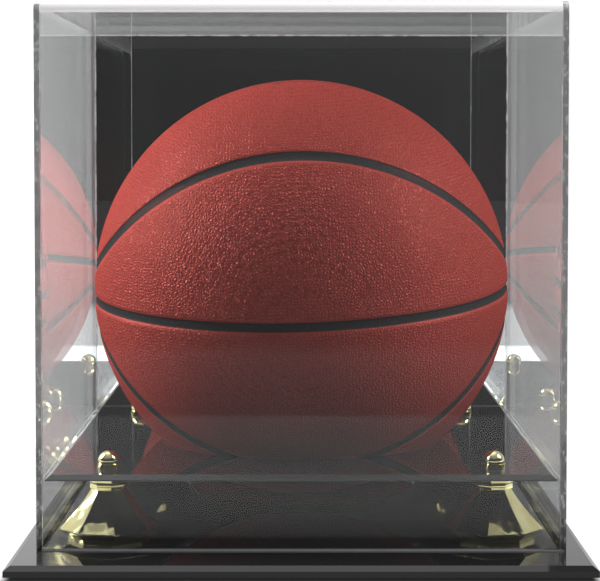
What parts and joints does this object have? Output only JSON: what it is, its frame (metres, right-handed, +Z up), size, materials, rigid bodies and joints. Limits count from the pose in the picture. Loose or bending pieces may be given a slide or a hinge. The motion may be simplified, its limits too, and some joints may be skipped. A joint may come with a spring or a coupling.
{
  "type": "ball display case",
  "caption": "Clear lift-off display cover with mirrored back over a bevelled black base, with a raised ball platform on octagonal bell risers.",
  "frame": {"origin": "centre of the base plate's outline, on the surface that the feet stand on", "axes": "+Z up, -Y towards the front, +X to the right as seen from the front, +Y towards the mirrored back"},
  "size_m": [0.3, 0.3256, 0.2931],
  "materials": {
    "black_acrylic": "polished cast acrylic, mirror gloss",
    "clear_acrylic": "clear polished acrylic with saw-cut edges",
    "mirror_acrylic": "silvered acrylic, grey paint behind",
    "gold_plate": "bright gold plate",
    "screw_steel": "zinc plated",
    "bumper_rubber": "matte moulded rubber",
    "ball_leather": "pebbled composite leather, satin",
    "ball_rubber": "matte black channels"
  },
  "bodies": {
    "base": {"base_plate": "black_acrylic", "platform": "black_acrylic", "foot_front_left": "bumper_rubber", "foot_front_right": "bumper_rubber", "foot_rear_left": "bumper_rubber", "foot_rear_right": "bumper_rubber", "riser_front_left": "gold_plate", "riser_front_right": "gold_plate", "riser_rear_left": "gold_plate", "riser_rear_right": "gold_plate", "screw_front_left": "screw_steel", "screw_front_right": "screw_steel", "screw_rear_left": "screw_steel", "screw_rear_right": "screw_steel", "ball_nut_front_left": "gold_plate", "ball_nut_front_right": "gold_plate", "ball_nut_rear_left": "gold_plate", "ball_nut_rear_right": "gold_plate"},
    "cover": {"cover_wrap": "clear_acrylic", "side_panel_left": "clear_acrylic", "side_panel_right": "clear_acrylic", "back_mirror": "mirror_acrylic"},
    "ball": {"ball_carcass": "ball_rubber", "ball_panels": "ball_leather", "ball_valve": "ball_rubber"}
  },
  "joints": [
    {"name": "cover_lift", "type": "slide", "parent": "base", "child": "cover", "axis": [0, 0, 1], "range_m": [0, 0.27]},
    {"name": "ball_turn", "type": "hinge", "parent": "base", "child": "ball", "pos_m": [0, 0.01275, 0.1355], "axis": [0, 0, 1], "continuous": true}
  ]
}
